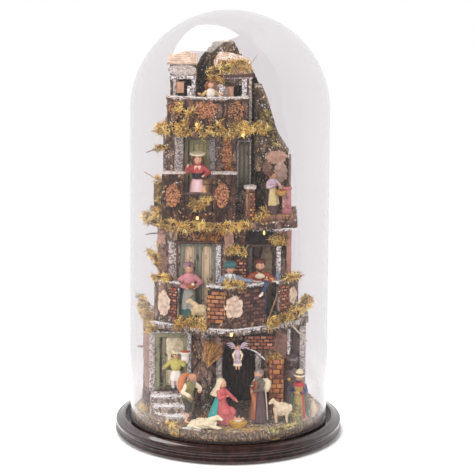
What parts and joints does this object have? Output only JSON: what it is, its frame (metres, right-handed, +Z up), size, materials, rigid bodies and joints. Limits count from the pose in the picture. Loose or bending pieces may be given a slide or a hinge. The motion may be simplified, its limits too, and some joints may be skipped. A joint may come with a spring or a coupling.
{
  "type": "nativity village under glass dome",
  "caption": "Storeyed crib village of cork, moss and painted figures on a turned dark wood base, lit by tiny lamps, under a lift-off glass dome.",
  "frame": {"origin": "centre of the wooden base's underside", "axes": "+Z up; the village faces -Y, with +X on the viewer's right"},
  "size_m": [0.2552, 0.2552, 0.481],
  "materials": {
    "base_wood": "gloss lacquer",
    "dome_glass": "clear",
    "black_plastic": "matt",
    "knob_plastic": "matt",
    "wire_sleeve": "matt",
    "cork": "rough",
    "cell_case": "satin",
    "bulb_glass": "glowing warm",
    "bark": "rough",
    "grey_cork": "rough, snow dusted",
    "painted_brick": "rough",
    "plaster": "rough",
    "olive_paint": "worn paint",
    "roof_tile": "rough",
    "twig": "rough",
    "mary_paint": "painted terracotta",
    "manger_paint": "painted terracotta",
    "joseph_paint": "painted terracotta",
    "standing_sheep_paint": "painted terracotta",
    "lying_sheep_paint": "painted terracotta",
    "angel_paint": "painted terracotta",
    "porter_paint": "painted terracotta",
    "old_shepherd_paint": "painted terracotta",
    "dark_king_paint": "painted terracotta",
    "turbaned_king_paint": "painted terracotta",
    "bread_woman_paint": "painted terracotta",
    "goat_paint": "painted terracotta",
    "teal_capped_man_paint": "painted terracotta",
    "red_capped_man_paint": "painted terracotta",
    "balcony_woman_paint": "painted terracotta",
    "basket_woman_paint": "painted terracotta",
    "top_floor_woman_paint": "painted terracotta"
  },
  "bodies": {
    "base": {"angel": "angel_paint", "balcony": "painted_brick", "balcony_woman": "balcony_woman_paint", "bark_pillar": "bark", "basket_woman": "basket_woman_paint", "battery_cell_1": "cell_case", "battery_cell_2": "cell_case", "battery_cell_3": "cell_case", "battery_tray": "black_plastic", "bread_woman": "bread_woman_paint", "brick_pier": "painted_brick", "cottage": "grey_cork", "cottage_roof": "bark", "dark_king": "dark_king_paint", "door_canopy": "painted_brick", "double_door_left": "olive_paint", "double_door_right": "olive_paint", "goat": "goat_paint", "green_door": "olive_paint", "ground_disc": "cork", "joseph": "joseph_paint", "lamp_balcony": "bulb_glass", "lamp_stable": "bulb_glass", "lamp_top_left": "bulb_glass", "lamp_top_right": "bulb_glass", "lamp_wire": "wire_sleeve", "lower_door": "olive_paint", "lower_house": "bark", "lower_slab": "grey_cork", "lying_sheep": "lying_sheep_paint", "manger": "manger_paint", "mary": "mary_paint", "middle_house": "plaster", "old_shepherd": "old_shepherd_paint", "parapet_centre": "painted_brick", "parapet_left": "plaster", "parapet_right": "plaster", "porter": "porter_paint", "red_capped_man": "red_capped_man_paint", "right_rock": "bark", "right_terrace": "plaster", "rock_back": "bark", "standing_sheep": "standing_sheep_paint", "stone_steps": "grey_cork", "switch_body": "black_plastic", "tall_shutter": "olive_paint", "teal_capped_man": "teal_capped_man_paint", "top_floor_woman": "top_floor_woman_paint", "top_parapet": "painted_brick", "top_slab": "grey_cork", "tower": "grey_cork", "tower_roof": "roof_tile", "turbaned_king": "turbaned_king_paint", "twig_rail": "twig", "upper_house": "plaster", "upper_slab": "grey_cork", "wooden_base": "base_wood"},
    "dome": {"glass_dome": "dome_glass"},
    "cover": {"battery_cover": "black_plastic"},
    "knob": {"switch_knob": "knob_plastic"}
  },
  "joints": [
    {"name": "dome_lift", "type": "slide", "parent": "base", "child": "dome", "axis": [0, 0, 1], "range_m": [0, 0.45]},
    {"name": "cover_hinge", "type": "hinge", "parent": "base", "child": "cover", "pos_m": [0, 0.04575, 0.0016], "axis": [1, 0, 0], "range_deg": [0, 90]},
    {"name": "switch_slide", "type": "slide", "parent": "base", "child": "knob", "axis": [1, 0, 0], "range_m": [0, 0.004]}
  ]
}
